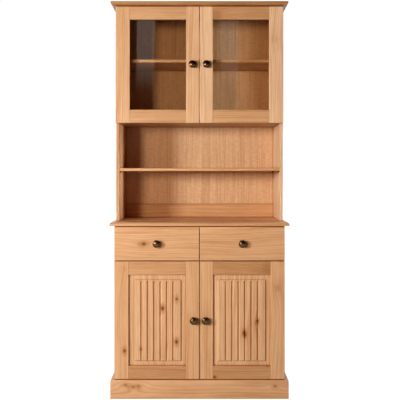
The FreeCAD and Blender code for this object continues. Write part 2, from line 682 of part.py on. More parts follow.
BOX_OUTER = f"({INNER} - drawer_gap)"
BOX_INNER = f"({PARTITION} + drawer_gap)"
BOX_FRONT = f"({FRONT_FACE} + front_board)"
BOX_REAR = f"({BOX_FRONT} + drawer_box_depth)"
BOX_HIGH = f"({BOX_LOW} + drawer_box_height)"
BOTTOM_LOW = f"({BOX_LOW} + bottom_rise)"
BOTTOM_HIGH = f"({BOTTOM_LOW} + bottom_board)"
RUNNER_LOW = f"({BOX_LOW} + runner_rise)"
RUNNER_FRONT = f"({BASE_FRONT} + runner_start)"


def drawer_runners(side, hand):
    """The two strips that carry one drawer."""
    heights = (RUNNER_LOW, f"({RUNNER_LOW} + runner_high)")
    walls = {
        "outer": across(hand, f"({INNER} - runner_wide)", INNER),
        "inner": across(hand, PARTITION, f"({PARTITION} + runner_wide)"),
    }
    return [
        block(f"runner_{side}_{wall}", x, (RUNNER_FRONT, BACK_FACE), heights)
        for wall, x in walls.items()
    ]


def drawer(side, hand):
    """Front, sides, back, bottom and knob of one drawer."""
    name = f"{side}_drawer"
    inner_face, outer_face = f"({BOX_INNER} + drawer_board)", f"({BOX_OUTER} - drawer_board)"
    bottom_x = across(hand, f"({inner_face} - bottom_bite)", f"({outer_face} + bottom_bite)")
    bottom_y = (f"({BOX_FRONT} - bottom_bite)", BOX_REAR)
    bottom = node(block(f"{name}_bottom", bottom_x, bottom_y, (BOTTOM_LOW, BOTTOM_HIGH)))
    front_x = across(hand, LOCK_EDGE, OUTER)
    board = block(f"{name}_front_board", front_x, (FRONT_FACE, BOX_FRONT), (DRAWER_LOW, DRAWER_HIGH))
    knob_x = f"{hand} * {middle(LOCK_EDGE, OUTER)}"
    fixing = knob(f"{name}_knob", knob_x, FRONT_FACE, middle(DRAWER_LOW, DRAWER_HIGH))
    node(cut(f"{name}_front", eased(f"{name}_front_eased", board, "XZ"), [bottom, fixing]))
    groove_y = (f"({RUNNER_FRONT} - runner_slack)", BOX_REAR)
    groove_z = (f"({RUNNER_LOW} - runner_slack)", f"({RUNNER_LOW} + runner_high + runner_slack)")
    walls = {
        "outer": ((outer_face, BOX_OUTER), (f"({BOX_OUTER} - runner_groove)", BOX_OUTER)),
        "inner": ((BOX_INNER, inner_face), (BOX_INNER, f"({BOX_INNER} + runner_groove)")),
    }
    box_y = (BOX_FRONT, BOX_REAR)
    sides = []
    for wall, (board_x, groove_x) in walls.items():
        plain = block(f"{name}_{wall}_board", across(hand, *board_x), box_y, (BOX_LOW, BOX_HIGH))
        groove = block(f"{name}_{wall}_groove", across(hand, *groove_x), groove_y, groove_z)
        sides.append(cut(f"{name}_{wall}_side", plain, [groove, bottom]))
    group(f"{name}_sides", sides)
    back_y = (f"({BOX_REAR} - drawer_board)", BOX_REAR)
    node(block(f"{name}_back", across(hand, inner_face, outer_face), back_y, (BOTTOM_HIGH, BOX_HIGH)))


# Dowels and shelf pins, which also cut their own holes

def dowels(joint, hand, front, z):
    """Two dowels across one joint of a side board."""
    x = f"{hand} * {middle(INNER, OUTER)}"
    places = {"front": f"({front} + dowel_inset)", "rear": f"({BACK} - dowel_inset)"}
    return [
        rod(f"dowel_{joint}_{end}", "z", "dowel_radius", x, y, z)
        for end, y in places.items()
    ]


def side_dowels(side, hand):
    """The dowels of one side of the cabinet, by joint."""
    places = {
        "base": (BASE_FRONT, f"({COUNTER_UNDER} - dowel_deep)", f"({COUNTER_UNDER} + dowel_bite)"),
        "hutch": (HUTCH_FRONT, "(counter_height - dowel_bite)", "(counter_height + dowel_deep)"),
        "cornice": (HUTCH_FRONT, f"({CORNICE_UNDER} - dowel_deep)", f"({CORNICE_UNDER} + dowel_bite)"),
    }
    return {
        joint: dowels(f"{joint}_{side}", hand, front, (low, high))
        for joint, (front, low, high) in places.items()
    }


SHELVES = {
    "base_shelf": (BASE_SHELF_UNDER, f"({BASE_FRONT} + base_shelf_back)"),
    "open_shelf": (OPEN_SHELF_UNDER, f"({HUTCH_FRONT} + open_shelf_back)"),
    "glass_cabinet_shelf": (GLASS_SHELF_UNDER, f"({HUTCH_FRONT} + glass_shelf_back)"),
}


def shelf_pins(shelf, side, hand):
    """The two pins under one end of a shelf."""
    under, front = SHELVES[shelf]
    z = f"({under} - peg_radius)"
    peg_x = across(hand, f"({INNER} - peg_long)", INNER)
    shank_x = across(hand, INNER, f"({INNER} + shank_long)")
    places = {"front": f"({front} + peg_front)", "rear": f"({BACK_FACE} - peg_rear)"}
    pins = []
    for end, y in places.items():
        name = f"pin_{shelf}_{side}_{end}"
        peg = rod(f"{name}_peg", "x", "peg_radius", peg_x, y, z)
        shank = rod(f"{name}_shank", "x", "shank_radius", shank_x, y, z)
        pins.append(join(name, [peg, shank]))
    return pins


# The carcass

def shelf(name):
    under, front = SHELVES[name]
    x = (f"-({INNER} - shelf_play)", f"({INNER} - shelf_play)")
    y = (front, f"({BACK_FACE} - shelf_play)")
    board = block(f"{name}_board", x, y, (under, f"({under} + shelf_board)"))
    node(eased(name, board, "X"))


def sides(side, hand, joints, pins):
    """The base side and the hutch side of one hand, grooved for the backs and bored for pins and dowels."""
    groove_x = across(hand, INNER, f"({INNER} + back_groove)")
    groove_y = (BACK_FACE, f"({BACK_FACE} + back_board)")
    heights = {"base": ("0", COUNTER_UNDER), "hutch": ("counter_height", CORNICE_UNDER)}
    fronts = {"base": BASE_FRONT, "hutch": HUTCH_FRONT}
    fittings = {
        "base": (["base_shelf"], ["base"]),
        "hutch": (["open_shelf", "glass_cabinet_shelf"], ["hutch", "cornice"]),
    }
    for part, (shelves, ends) in fittings.items():
        name = f"{part}_side_{side}"
        board = block(f"{name}_board", across(hand, INNER, OUTER), (fronts[part], BACK), heights[part])
        groove = block(f"{name}_groove", groove_x, groove_y, heights[part])
        holes = [pin for shelf_name in shelves for pin in pins[shelf_name]]
        holes += [dowel for end in ends for dowel in joints[end]]
        node(cut(name, eased(f"{name}_eased", board, "Z"), [groove, *holes]))


def plinth():
    """A front board mitred to two side boards, with a block behind each mitre."""
    outside = f"({OUTER} + plinth_board)"
    front_rear = f"({PLINTH_FACE} + plinth_board)"

    def top_front(edge, shape):
        return level(edge, "Z", shape.BoundBox.ZMax) and level(edge, "Y", shape.BoundBox.YMin)

    def top_outside(hand):
        def test(edge, shape):
            face = shape.BoundBox.XMax if hand > 0 else shape.BoundBox.XMin
            return level(edge, "Z", shape.BoundBox.ZMax) and level(edge, "X", face)
        return test

    front_corners = [
        (f"-{outside}", PLINTH_FACE),
        (outside, PLINTH_FACE),
        (OUTER, front_rear),
        (f"-{OUTER}", front_rear),
    ]
    node(slab("plinth_front", front_corners, "0", "plinth_height", "plinth_round", top_front))
    for side, hand in HANDS.items():
        corners = [(outside, PLINTH_FACE), (outside, BACK), (OUTER, BACK), (OUTER, front_rear)]
        mirrored = [(f"{hand} * {x}", y) for x, y in corners]
        node(slab(f"plinth_{side}", mirrored, "0", "plinth_height", "plinth_round", top_outside(hand)))
    block_x = (f"({INNER} - plinth_block)", INNER)
    block_y = (front_rear, f"({BASE_FRONT} + plinth_block)")
    group("plinth_blocks", [
        block(f"plinth_block_{side}", across(hand, *block_x), block_y, ("0", "plinth_height"))
        for side, hand in HANDS.items()
    ])


def moulded_board(name, front, low, thickness, rounded_level, dowel_rods):
    """A board whose front and ends have a rounded edge at the top or the bottom."""
    half = "(counter_width / 2)"
    corners = [(f"-{half}", front), (half, front), (half, BACK), (f"-{half}", BACK)]

    def moulded(edge, shape):
        box = shape.BoundBox
        return level(edge, "Z", getattr(box, rounded_level)) and not level(edge, "Y", box.YMax)

    board = slab(f"{name}_board", corners, low, thickness, "edge_round", moulded)
    node(cut(name, board, dowel_rods))


def carcass():
    """Boards, rails, backs and shelves between the sides."""
    inside = (f"-{INNER}", INNER)
    in_grooves = (f"-({INNER} + back_groove)", f"({INNER} + back_groove)")
    back_y = (BACK_FACE, f"({BACK_FACE} + back_board)")
    node(block("base_floor", inside, (BASE_FRONT, BACK_FACE), ("plinth_height", BASE_FLOOR_TOP)))
    node(block("drawer_deck", inside, (BASE_FRONT, BACK_FACE), (DECK_UNDER, DECK_TOP)))
    partition_x = (f"-{PARTITION}", PARTITION)
    node(block("drawer_partition", partition_x, (BASE_FRONT, BACK_FACE), (DECK_TOP, RAIL_UNDER)))
    rail_z = (RAIL_UNDER, COUNTER_UNDER)
    group("counter_rails", [
        block("counter_rail_front", inside, (BASE_FRONT, f"({BASE_FRONT} + counter_rail_wide)"), rail_z),
        block("counter_rail_rear", inside, (f"({BACK_FACE} - counter_rail_wide)", BACK_FACE), rail_z),
    ])
    node(block("base_back", in_grooves, back_y, ("0", COUNTER_UNDER)))
    node(block("hutch_back", in_grooves, back_y, ("counter_height", CORNICE_UNDER)))
    floor_z = (GLASS_LOW, GLASS_FLOOR_TOP)
    floor_board = block("cabinet_floor_board", inside, (HUTCH_FRONT, BACK_FACE), floor_z)
    node(eased("cabinet_floor", floor_board, "X"))
    back_rail_y = (f"({BACK_FACE} - panel_board)", BACK_FACE)
    back_rail_z = ("counter_height", "(counter_height + back_rail_height)")
    rail_board = block("back_rail_board", inside, back_rail_y, back_rail_z)
    node(eased("back_rail", rail_board, "X"))
    for name in SHELVES:
        shelf(name)


def hinge_hardware():
    """Arms and plates of the eight hinges, on the carcass."""
    arms, plates = [], []
    doors = {"glass": (HUTCH_FRONT, GLASS_LOW, GLASS_HIGH), "base": (BASE_FRONT, DOOR_LOW, DOOR_HIGH)}
    for side, hand in HANDS.items():
        for door, (edge, low, high) in doors.items():
            for end, z in hinge_heights(low, high).items():
                arms.append(hinge_arm(f"arm_{side}_{door}_{end}", hand, edge, z))
                plates.append(hinge_plate(f"plate_{side}_{door}_{end}", hand, edge, z))
    group("hinge_arms", arms)
    group("hinge_plates", plates)


def catches():
    """A magnetic catch above the free edge of each door."""
    boards = {"glass": (HUTCH_FRONT, CORNICE_UNDER), "base": (BASE_FRONT, DECK_UNDER)}
    group("door_catches", [
        block(
            f"catch_{side}_{door}",
            across(hand, "catch_inset", "(catch_inset + catch_wide)"),
            (f"({edge} - catch_ahead)", f"({edge} + catch_deep)"),
            (f"({under} - catch_high)", under),
        )
        for side, hand in HANDS.items()
        for door, (edge, under) in boards.items()
    ])


# Put the cabinet together

joints = {side: side_dowels(side, hand) for side, hand in HANDS.items()}
pins = {side: {name: shelf_pins(name, side, hand) for name in SHELVES} for side, hand in HANDS.items()}
for side, hand in HANDS.items():
    sides(side, hand, joints[side], pins[side])
carcass()
plinth()


def rods(*ends):
    return [dowel for side in HANDS for end in ends for dowel in joints[side][end]]


counter_front = f"({BACK} - counter_depth)"
moulded_board("counter_top", counter_front, COUNTER_UNDER, "counter_board", "ZMax", rods("base", "hutch"))
cornice_front = f"({BACK} - cornice_depth)"
moulded_board("cornice", cornice_front, CORNICE_UNDER, "cornice_board", "ZMin", rods("cornice"))
group("carcass_dowels", rods("base", "hutch", "cornice"))
group("shelf_pins", [pin for by_shelf in pins.values() for pair in by_shelf.values() for pin in pair])
hinge_hardware()
catches()
group("drawer_runners", [strip for side, hand in HANDS.items() for strip in drawer_runners(side, hand)])
for side, hand in HANDS.items():
    glazed_door(side, hand)
    wooden_door(side, hand)
    drawer(side, hand)
doc.recompute()

# Check every object, then write one file for each sub-part
for thing in doc.Objects:
    if "Invalid" in thing.State or "Error" in thing.State:
        raise RuntimeError(f"{thing.Name}: {thing.State}")
for thing in nodes:
    if thing.Shape.isNull() or not thing.Shape.isValid():
        raise RuntimeError(f"{thing.Label}: the shape is not sound")

os.makedirs("parts", exist_ok=True)
for thing in nodes:
    thing.Shape.exportStep(f"parts/{thing.Label}.step")
print(len(nodes), "sub-parts written")
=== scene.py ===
import json
import math

import bpy
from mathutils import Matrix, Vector

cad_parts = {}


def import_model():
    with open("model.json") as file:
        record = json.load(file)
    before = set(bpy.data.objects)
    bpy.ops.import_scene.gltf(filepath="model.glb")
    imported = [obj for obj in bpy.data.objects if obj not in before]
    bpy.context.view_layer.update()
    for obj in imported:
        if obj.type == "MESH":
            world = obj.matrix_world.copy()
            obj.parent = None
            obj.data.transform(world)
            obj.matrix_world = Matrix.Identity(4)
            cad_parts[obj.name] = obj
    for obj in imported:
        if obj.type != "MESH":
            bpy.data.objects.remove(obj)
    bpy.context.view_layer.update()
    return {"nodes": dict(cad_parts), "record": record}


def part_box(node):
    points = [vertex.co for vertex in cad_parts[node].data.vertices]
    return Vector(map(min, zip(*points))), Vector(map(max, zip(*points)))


# A pine dresser in plain studio light. Metres, +Z up, the front faces -Y. Colours are linear.

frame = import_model()
nodes = frame["nodes"]
slots = {entry["node"]: entry["material_slot"] for entry in frame["record"]["subparts"]}

# Axes, and the two ends of a box along one of them
X, Y, Z = range(3)
LOWEST, HIGHEST = range(2)
WHITE = (1.0, 1.0, 1.0)
# Noise: its middle, and how many layers of detail it has, as a rule, in fine grain and in specks
NOISE_MIDDLE = 0.5
NOISE_DETAIL = 2.0
FINE_DETAIL = 3.0
SPECK_DETAIL = 4.0

# Wood colours
PINE_LIGHT = (0.693, 0.374, 0.179)
PINE_DARK = (0.455, 0.200, 0.070)
PINE_RED = (0.535, 0.225, 0.084)
SAPWOOD = (0.700, 0.460, 0.270)
KNOT_CORE = (0.160, 0.038, 0.004)
KNOT_HALO = (0.460, 0.165, 0.038)
# How much faster the stain darkens green and blue than red
STAIN_POWERS = (1.0, 1.4, 2.0)
# Painted shade darkens corners and grooves: its tint, how far it reaches, and the open shares it fades
# between
CORNER_SHADE_TINT = (0.66, 0.42, 0.22)
CORNER_REACH = 0.012
CORNER_RANGE = (0.4, 0.95)
CORNER_SAMPLES = 8

# The log that the boards are cut from: how far along it one seed is from the next, and where its pith lies
SEED_SPACING = 7.31
NODE_SEED_STEP = 0.61
PITH_DEPTH = 0.055
PITH_OFFSET = 0.09
PITH_TURN = 5.7
# How far the log sways and ripples to the side
SWAY_WIDTH = 0.10
RIPPLE_WIDTH = 0.010
# Year rings: their pitch, how they darken outwards and end, and how they differ from year to year
RING_PITCH = 0.0085
RING_POWER = 2.2
RING_END = (0.86, 1.0)
YEAR_DRIFT = 3.0
YEAR_CONTRAST = 1.2
YEAR_STRENGTH = 0.75
# How fine each figure of the wood is across, through and along the grain
SWAY_SCALES = (3.0, 3.0, 0.9)
RIPPLE_SCALES = (16.0, 16.0, 3.5)
YEAR_SCALES = (55.0, 1.0, 1.0)
FIBRE_SCALES = (900.0, 900.0, 14.0)
STREAK_SCALES = (70.0, 8.0, 1.6)
BLOTCH_SCALES = (22.0, 22.0, 7.0)
CURL_SCALES = (20.0, 20.0, 90.0)
# How much dark and red wood the rings and streaks bring in, and the range in which a streak turns red
RING_SHARE = 0.9
STREAK_SHARE = 0.8
STREAK_RANGE = (-0.05, 0.35)
# How much each figure lightens or darkens the wood
SHADE_SHARES = {"Fibre": 0.4, "Streak": -0.3, "Blotch": 0.2}
# Veneered boards have a finer figure, with a curl across the grain
VENEERS = ("hutch_back", "base_back")
VENEER_FINENESS = 2.4
VENEER_SHADE_SHARES = {**SHADE_SHARES, "Curl": 0.35}
# Satin lacquer, its gloss broken by the fibres, over a faint relief in which the rings lie lower
LACQUER_ROUGHNESS = 0.39
FIBRE_ROUGHNESS = 0.16
LACQUER_SPECULAR = 0.3
RING_RELIEF = -0.6
RELIEF_STRENGTH = 0.12
RELIEF_HEIGHT = 0.0004

# A knot's ragged outline
KNOT_SCALES = (170.0, 900.0, 130.0)
KNOT_WOBBLE = 0.010
# A knot is longer along the grain: its length counts this much, and it fades out between these radii
CORE_LENGTH_SHARE = 0.8
CORE_RANGE = (0.4, 1.15)
HALO_LENGTH_SHARE = 0.5
HALO_RANGE = (0.6, 2.2)
# How dark the halo is beside the core, and how fast the push on the rings dies away
HALO_SHARE = 0.8
PUSH_FADE = -0.5

# For each way the grain runs, the axes across, through and along it
GRAIN_AXES = {X: (Z, Y, X), Y: (X, Z, Y), Z: (X, Y, Z)}
# Which way the grain runs, by the end of a node's name; the rest runs along X
UPRIGHT = ("_side_left", "_side_right", "_back", "_stiles", "_panel", "_beads", "plinth_blocks")
FRONT_TO_BACK = ("plinth_left", "plinth_right", "_sides", "_runners", "_partition")
# Nodes of two boards, by the axis along which the boards lie apart
PAIRS = {"_stiles": X, "_sides": X, "_rails": Z}
# Boards with one face of another tone, on the cornice and the counter top as painted shade and light: the
# axis it faces along, which end it is at, and its depth
FACE_SKIN = 0.0005
COUNTER_SHADED_EDGE = 0.006
TONED_AND_SHADED_FACES = {
    "cornice": (Z, HIGHEST, FACE_SKIN),
    "counter_top": (Y, LOWEST, COUNTER_SHADED_EDGE),
    "hutch_side_left": (Y, LOWEST, FACE_SKIN),
    "hutch_side_right": (Y, LOWEST, FACE_SKIN),
}

# Lighter and darker wood, and on the cornice and the counter top painted shade and light: the left, lower or
# front part of a node, then the right, upper or rear one
PLAIN_TONE_SHARES = (1.01, 1.01)
TONE_AND_SHADE_SHARES = {
    "left_glass_door_stiles": (0.95, 1.03),
    "right_glass_door_stiles": (1.07, 1.18),
    "left_glass_door_rails": (0.84, 0.90),
    "right_glass_door_rails": (0.88, 0.80),
    "left_base_door_rails": (0.79, 0.91),
    "right_base_door_rails": (0.79, 0.78),
    # Painted shade: the cornice is darker everywhere but on its top
    "cornice": (0.62, 0.90),
    # Painted light and shade: the counter's top lighter, its front edge darker
    "counter_top": (0.94, 1.20),
    "hutch_side_left": (0.84, 1.00),
    "hutch_side_right": (1.09, 1.03),
    "open_shelf": (0.86, 0.86),
    "glass_cabinet_shelf": (0.92, 0.92),
    "cabinet_floor": (0.78, 0.78),
    "back_rail": (0.86, 0.86),
    "left_base_door_panel": (1.05, 1.05),
    "right_base_door_panel": (1.07, 1.07),
    "right_base_door_stiles": (1.02, 1.06),
    "plinth_front": (1.04, 1.04),
    "hutch_back": (0.96, 0.96),
}
# How much pale sapwood shows in a board
SAPWOOD_SHARES = {
    "hutch_back": 0.55,
    "hutch_side_left": 0.40,
    "hutch_side_right": 0.85,
    "left_glass_door_stiles": 0.30,
    "right_glass_door_stiles": 0.45,
    "left_glass_door_rails": 0.20,
    "right_glass_door_rails": 0.20,
    "left_base_door_panel": 0.20,
    "right_base_door_panel": 0.20,
}

# Knots on the fronts, and wide faint ones for dark patches: X, Z, radius and how dark they are
KNOTS = {
    "left_drawer_front": [
        (-0.279, 0.775, 0.010, 0.75),
        (-0.290, 0.768, 0.020, 0.15),
    ],
    "left_base_door_stiles": [
        (-0.376, 0.238, 0.009, 0.85),
        (-0.378, 0.651, 0.016, 0.12),
    ],
    "right_base_door_stiles": [(0.390, 0.553, 0.018, 0.22)],
    "left_base_door_panel": [
        (-0.185, 0.451, 0.009, 1.0),
        (-0.114, 0.498, 0.008, 0.8),
        (-0.115, 0.283, 0.009, 1.0),
        (-0.294, 0.245, 0.007, 0.5),
    ],
    "right_base_door_panel": [
        (0.291, 0.388, 0.007, 0.8),
        (0.285, 0.376, 0.013, 0.3),
        (0.224, 0.328, 0.008, 0.85),
        (0.229, 0.317, 0.006, 0.8),
        (0.226, 0.322, 0.016, 0.25),
    ],
    "right_base_door_rails": [
        (0.075, 0.107, 0.007, 1.0),
        (0.341, 0.168, 0.009, 0.8),
        (0.345, 0.655, 0.030, 0.22),
    ],
    "right_glass_door_rails": [(0.082, 1.935, 0.030, 0.30)],
    "right_glass_door_stiles": [(0.383, 1.812, 0.022, 0.14)],
    "plinth_front": [
        (-0.370, 0.069, 0.010, 0.45),
        (-0.333, 0.059, 0.010, 0.45),
        (-0.305, 0.064, 0.009, 0.40),
        (0.378, 0.064, 0.008, 0.5),
    ],
}

# Dark metal, by material slot: its colour, its colour where hands have worn it, and its roughness
DARK_METALS = {
    "bronze": {"colour": (0.010, 0.004, 0.001), "worn": (0.112, 0.056, 0.022), "roughness": 0.24},
    "dark_pin": {"colour": (0.020, 0.015, 0.011), "worn": (0.030, 0.022, 0.016), "roughness": 0.45},
}
# What dark metal mirrors along its edges, how far it turns to the front where it is worn, and its specks
DARK_METAL_EDGE = (0.20, 0.09, 0.03)
WORN_RANGE = (-1.0, -0.55)
SPECK_FINENESS = 900.0
SPECK_SHARE = 0.5
# How much the specks, brush lines or grain of a surface change its roughness
GRAIN_ROUGHNESS = 0.2
# Plated steel with level brush lines
STEEL = (0.50, 0.50, 0.49)
STEEL_BRIGHT = (0.72, 0.71, 0.68)
STEEL_ROUGHNESS = 0.32
BRUSH_SCALES = (400.0, 400.0, 4000.0)
# Brown plastic
PLASTIC = (0.075, 0.034, 0.015)
PLASTIC_DARK = (0.0525, 0.0238, 0.0105)
PLASTIC_ROUGHNESS = 0.5
PLASTIC_FINENESS = 600.0
# Float glass with faint smears
GLASS_TINT = (0.92, 0.89, 0.84)
GLASS_IOR = 1.5
GLASS_ROUGHNESS = 0.015
SMEAR_ROUGHNESS = 0.03
SMEAR_FINENESS = 14.0

# A matt floor, which glows white to the eye, a little less near the cabinet and not at all under it
FLOOR_SIZE = 30.0
FLOOR_COLOURS = ((0.21, 0.21, 0.21), (0.23, 0.23, 0.23))
FLOOR_FINENESS = 40.0
FLOOR_ROUGHNESS = 0.9
GLOW_NEAR = 0.92
GLOW_FAR = 1.0
GLOW_RANGE = (0.5, 2.5)
HALF_FOOTPRINT = (0.42, 0.18)
# Ray depths are whole numbers, and one below this means no bounce yet
FIRST_BOUNCE = 0.5
# Light from the room: behind the cabinet and in front of it, how one turns into the other, more at the right
BACK_LIGHT = 0.9
FRONT_LIGHT = 0.05
FRONT_COLOUR = (1.0, 0.42, 0.12)
BEHIND_RANGE = (-0.1, 0.3)
RIGHT_BOOST = 0.8

# Lamps: sizes are width and height, power is in watts, spread in degrees
FULL_SPREAD = 180.0
FRONT_TARGET = (0.0, -0.1, 1.2)
# No pane mirrors these: two on the fronts, whose light adds up to white, and a narrow beam into the bay
LAMPS = {
    "key": {
        "place": (-1.72, -3.95, 1.55),
        "target": FRONT_TARGET,
        "size": (0.65, 0.7),
        "power": 67.0,
        "colour": (1.11, 0.88, 0.64),
    },
    "side": {
        "place": (-3.19, -2.85, 1.55),
        "target": FRONT_TARGET,
        "size": (0.74, 0.7),
        "power": 153.0,
        "colour": (0.945, 1.06, 1.18),
    },
    "right": {
        "place": (3.5, -0.78, 1.14),
        "target": (-0.41, -0.03, 1.14),
        "size": (0.05, 0.5),
        "power": 0.31,
        "spread": 6.0,
    },
}
# Two dim strips of light that show as bands in the panes, and the share of their height that fades out
STRIP = {"target": (0.0, -0.1, 1.8), "size": (0.184, 1.5), "colour": (1.0, 0.84, 0.72)}
STRIPS = {
    "left_strip": {"place": (-0.548, -3.48, 2.65), "power": 0.70, **STRIP},
    "right_strip": {"place": (0.302, -3.48, 2.65), "power": 0.48, **STRIP},
}
STRIP_FADE = 0.3

# Camera: level, square to the front, the view shifted down to take in the whole height
CAMERA_PLACE = (0.0, -3.477, 1.137)
CAMERA_WAY = (0.0, 1.0, 0.0)
LENS_MM = 59.2
SENSOR_MM = 36.0
VIEW_SHIFT = (0.00125, -0.071)


# Shader node helpers

def plug(tree, socket, value):
    """Link a socket to another one, or set its value; colours are opaque."""
    if isinstance(value, bpy.types.NodeSocket):
        tree.links.new(value, socket)
    elif socket.type == "RGBA":
        socket.default_value = (*value, 1.0)
    else:
        socket.default_value = value


def shader(tree, kind, inputs=None, **settings):
    """A node with some settings, its inputs given as values or as sockets to link."""
    made = tree.nodes.new(f"ShaderNode{kind}")
    for name, value in settings.items():
        setattr(made, name, value)
    for key, value in (inputs or {}).items():
        plug(tree, made.inputs[key], value)
    return made


def calc(tree, operation, *values, clamp=False):
    """One step of arithmetic."""
    inputs = dict(enumerate(values))
    return shader(tree, "Math", inputs, operation=operation, use_clamp=clamp).outputs[0]


def diagonal(tree, first, second):
    """How far a point is from the corner where two sides meet."""
    squares = [calc(tree, "MULTIPLY", side, side) for side in (first, second)]
    return calc(tree, "SQRT", calc(tree, "ADD", *squares))


def ramp(tree, value, low, high):
    """0 below low, 1 above high, smooth between."""
    inputs = {"Value": value, "From Min": low, "From Max": high}
    return shader(tree, "MapRange", inputs, interpolation_type="SMOOTHSTEP").outputs[0]


def fall(tree, value, low, high):
    """1 below low, 0 above high, smooth between."""
    return calc(tree, "SUBTRACT", 1.0, ramp(tree, value, low, high))


def colour_sockets(sockets):
    """The sockets of a mix of colours, which also has some for numbers and vectors."""
    return [socket for socket in sockets if socket.type == "RGBA"]


def blend(tree, factor, first, second, mode="MIX"):
    """Two colours mixed."""
    made = shader(tree, "Mix", {"Factor": factor}, data_type="RGBA", blend_type=mode)
    for socket, colour in zip(colour_sockets(made.inputs), (first, second)):
        plug(tree, socket, colour)
    return colour_sockets(made.outputs)[0]


def place_of(tree):
    """Where a point of the surface is at rest, in metres."""
    return shader(tree, "TexCoord").outputs["Object"]


def parts_of(tree, vector):
    """A vector's X, Y and Z."""
    return shader(tree, "SeparateXYZ", {"Vector": vector}).outputs


def stretched(tree, place, scales):
    """A place with its three parts scaled apart."""
    parts = [calc(tree, "MULTIPLY", part, scale) for part, scale in zip(place, scales)]
    return shader(tree, "CombineXYZ", dict(enumerate(parts))).outputs[0]


def noise(tree, vector, scale=1.0, detail=NOISE_DETAIL):
    """Noise about zero, roughly from -0.5 to 0.5."""
    made = shader(tree, "TexNoise", {"Vector": vector, "Scale": scale, "Detail": detail})
    return calc(tree, "SUBTRACT", made.outputs[0], NOISE_MIDDLE)


def share_of(tree, grain):
    """Noise about zero turned into a share from 0 to 1."""
    return calc(tree, "ADD", grain, NOISE_MIDDLE, clamp=True)


def new_group(name, inputs, outputs):
    """A group of nodes, with the sockets that lead into it and those that lead out of it."""
    tree = bpy.data.node_groups.new(name, "ShaderNodeTree")
    for way, sockets in (("INPUT", inputs), ("OUTPUT", outputs)):
        for socket in sockets:
            tree.interface.new_socket(socket, in_out=way, socket_type="NodeSocketFloat")
    return tree, tree.nodes.new("NodeGroupInput").outputs, tree.nodes.new("NodeGroupOutput").inputs


def new_material(name):
    """A material, with its nodes and the inputs of its surface."""
    material = bpy.data.materials.new(name)
    material.use_nodes = True
    tree = material.node_tree
    return material, tree, tree.nodes["Principled BSDF"].inputs


# Wood: year rings cut by the board, fibres, broad streaks, and knots that push the grain aside

def from_pith(tree, given, shift, along):
    """How far to the side of the pith a point lies, in a log that isn't straight."""
    place = (given["Across"], given["Deep"], along)
    sway = noise(tree, stretched(tree, place, SWAY_SCALES))
    ripple = noise(tree, stretched(tree, place, RIPPLE_SCALES))
    turn = calc(tree, "SINE", calc(tree, "MULTIPLY", shift, PITH_TURN))
    across = calc(tree, "MULTIPLY_ADD", turn, PITH_OFFSET, given["Across"])
    across = calc(tree, "MULTIPLY_ADD", sway, SWAY_WIDTH, across)
    return calc(tree, "MULTIPLY_ADD", ripple, RIPPLE_WIDTH, across)


def ring_line(tree, radius, shift):
    """How dark the year rings are: each darkens outwards, then ends at once."""
    years = noise(tree, stretched(tree, (radius, shift, shift), YEAR_SCALES))
    rings = calc(tree, "DIVIDE", radius, RING_PITCH)
    phase = calc(tree, "FRACT", calc(tree, "MULTIPLY_ADD", years, YEAR_DRIFT, rings))
    rise = calc(tree, "POWER", phase, RING_POWER)
    line = calc(tree, "MULTIPLY", rise, fall(tree, phase, *RING_END))
    strength = calc(tree, "MULTIPLY_ADD", years, YEAR_CONTRAST, YEAR_STRENGTH, clamp=True)
    return calc(tree, "MULTIPLY", line, strength)


def grain_group():
    """The figure of the wood at a place across, through and along the grain."""
    tree, given, result = new_group(
        "pine_grain",
        ("Across", "Deep", "Along", "Seed", "Push"),
        ("Line", "Fibre", "Streak", "Blotch", "Curl"),
    )
    shift = calc(tree, "MULTIPLY", given["Seed"], SEED_SPACING)
    along = calc(tree, "ADD", given["Along"], shift)
    across = from_pith(tree, given, shift, along)
    deep = calc(tree, "ADD", given["Deep"], PITH_DEPTH)
    radius = calc(tree, "ADD", diagonal(tree, across, deep), given["Push"])
    place = (across, deep, along)
    ringed = (radius, deep, along)
    figures = {
        "Line": ring_line(tree, radius, shift),
        "Fibre": noise(tree, stretched(tree, place, FIBRE_SCALES), detail=FINE_DETAIL),
        "Streak": noise(tree, stretched(tree, ringed, STREAK_SCALES), detail=FINE_DETAIL),
        "Blotch": noise(tree, stretched(tree, place, BLOTCH_SCALES)),
        "Curl": noise(tree, stretched(tree, place, CURL_SCALES)),
    }
    for name, figure in figures.items():
        plug(tree, result[name], figure)
    return tree


def knot_reach(tree, across, given, length_share):
    """How many radii a point is from the middle of a knot that is drawn out along the grain."""
    along = calc(tree, "MULTIPLY", given["Along"], length_share)
    return calc(tree, "DIVIDE", diagonal(tree, along, across), given["Radius"])


def knot_group():
    """A knot's core, its halo, and how far it pushes the rings aside."""
    tree, given, result = new_group(
        "pine_knot",
        ("Across", "Along", "Radius", "Dark"),
        ("Core", "Halo", "Push"),
    )
    place = (given["Across"], given["Radius"], given["Along"])
    ragged = noise(tree, stretched(tree, place, KNOT_SCALES))
    across = calc(tree, "MULTIPLY_ADD", ragged, KNOT_WOBBLE, given["Across"])
    core = fall(tree, knot_reach(tree, across, given, CORE_LENGTH_SHARE), *CORE_RANGE)
    plug(tree, result["Core"], calc(tree, "MULTIPLY", core, given["Dark"]))
    reach = knot_reach(tree, across, given, HALO_LENGTH_SHARE)
    halo = calc(tree, "MULTIPLY", fall(tree, reach, *HALO_RANGE), HALO_SHARE)
    plug(tree, result["Halo"], calc(tree, "MULTIPLY", halo, given["Dark"]))
    push = calc(tree, "EXPONENT", calc(tree, "MULTIPLY", reach, PUSH_FADE))
    plug(tree, result["Push"], calc(tree, "MULTIPLY", push, given["Radius"]))
    return tree


GRAIN = grain_group()
KNOT = knot_group()


def grain_of(name):
    """Which way the grain of a node's boards runs."""
    if name.endswith(UPRIGHT):
        return Z
    if name.endswith(FRONT_TO_BACK):
        return Y
    return X


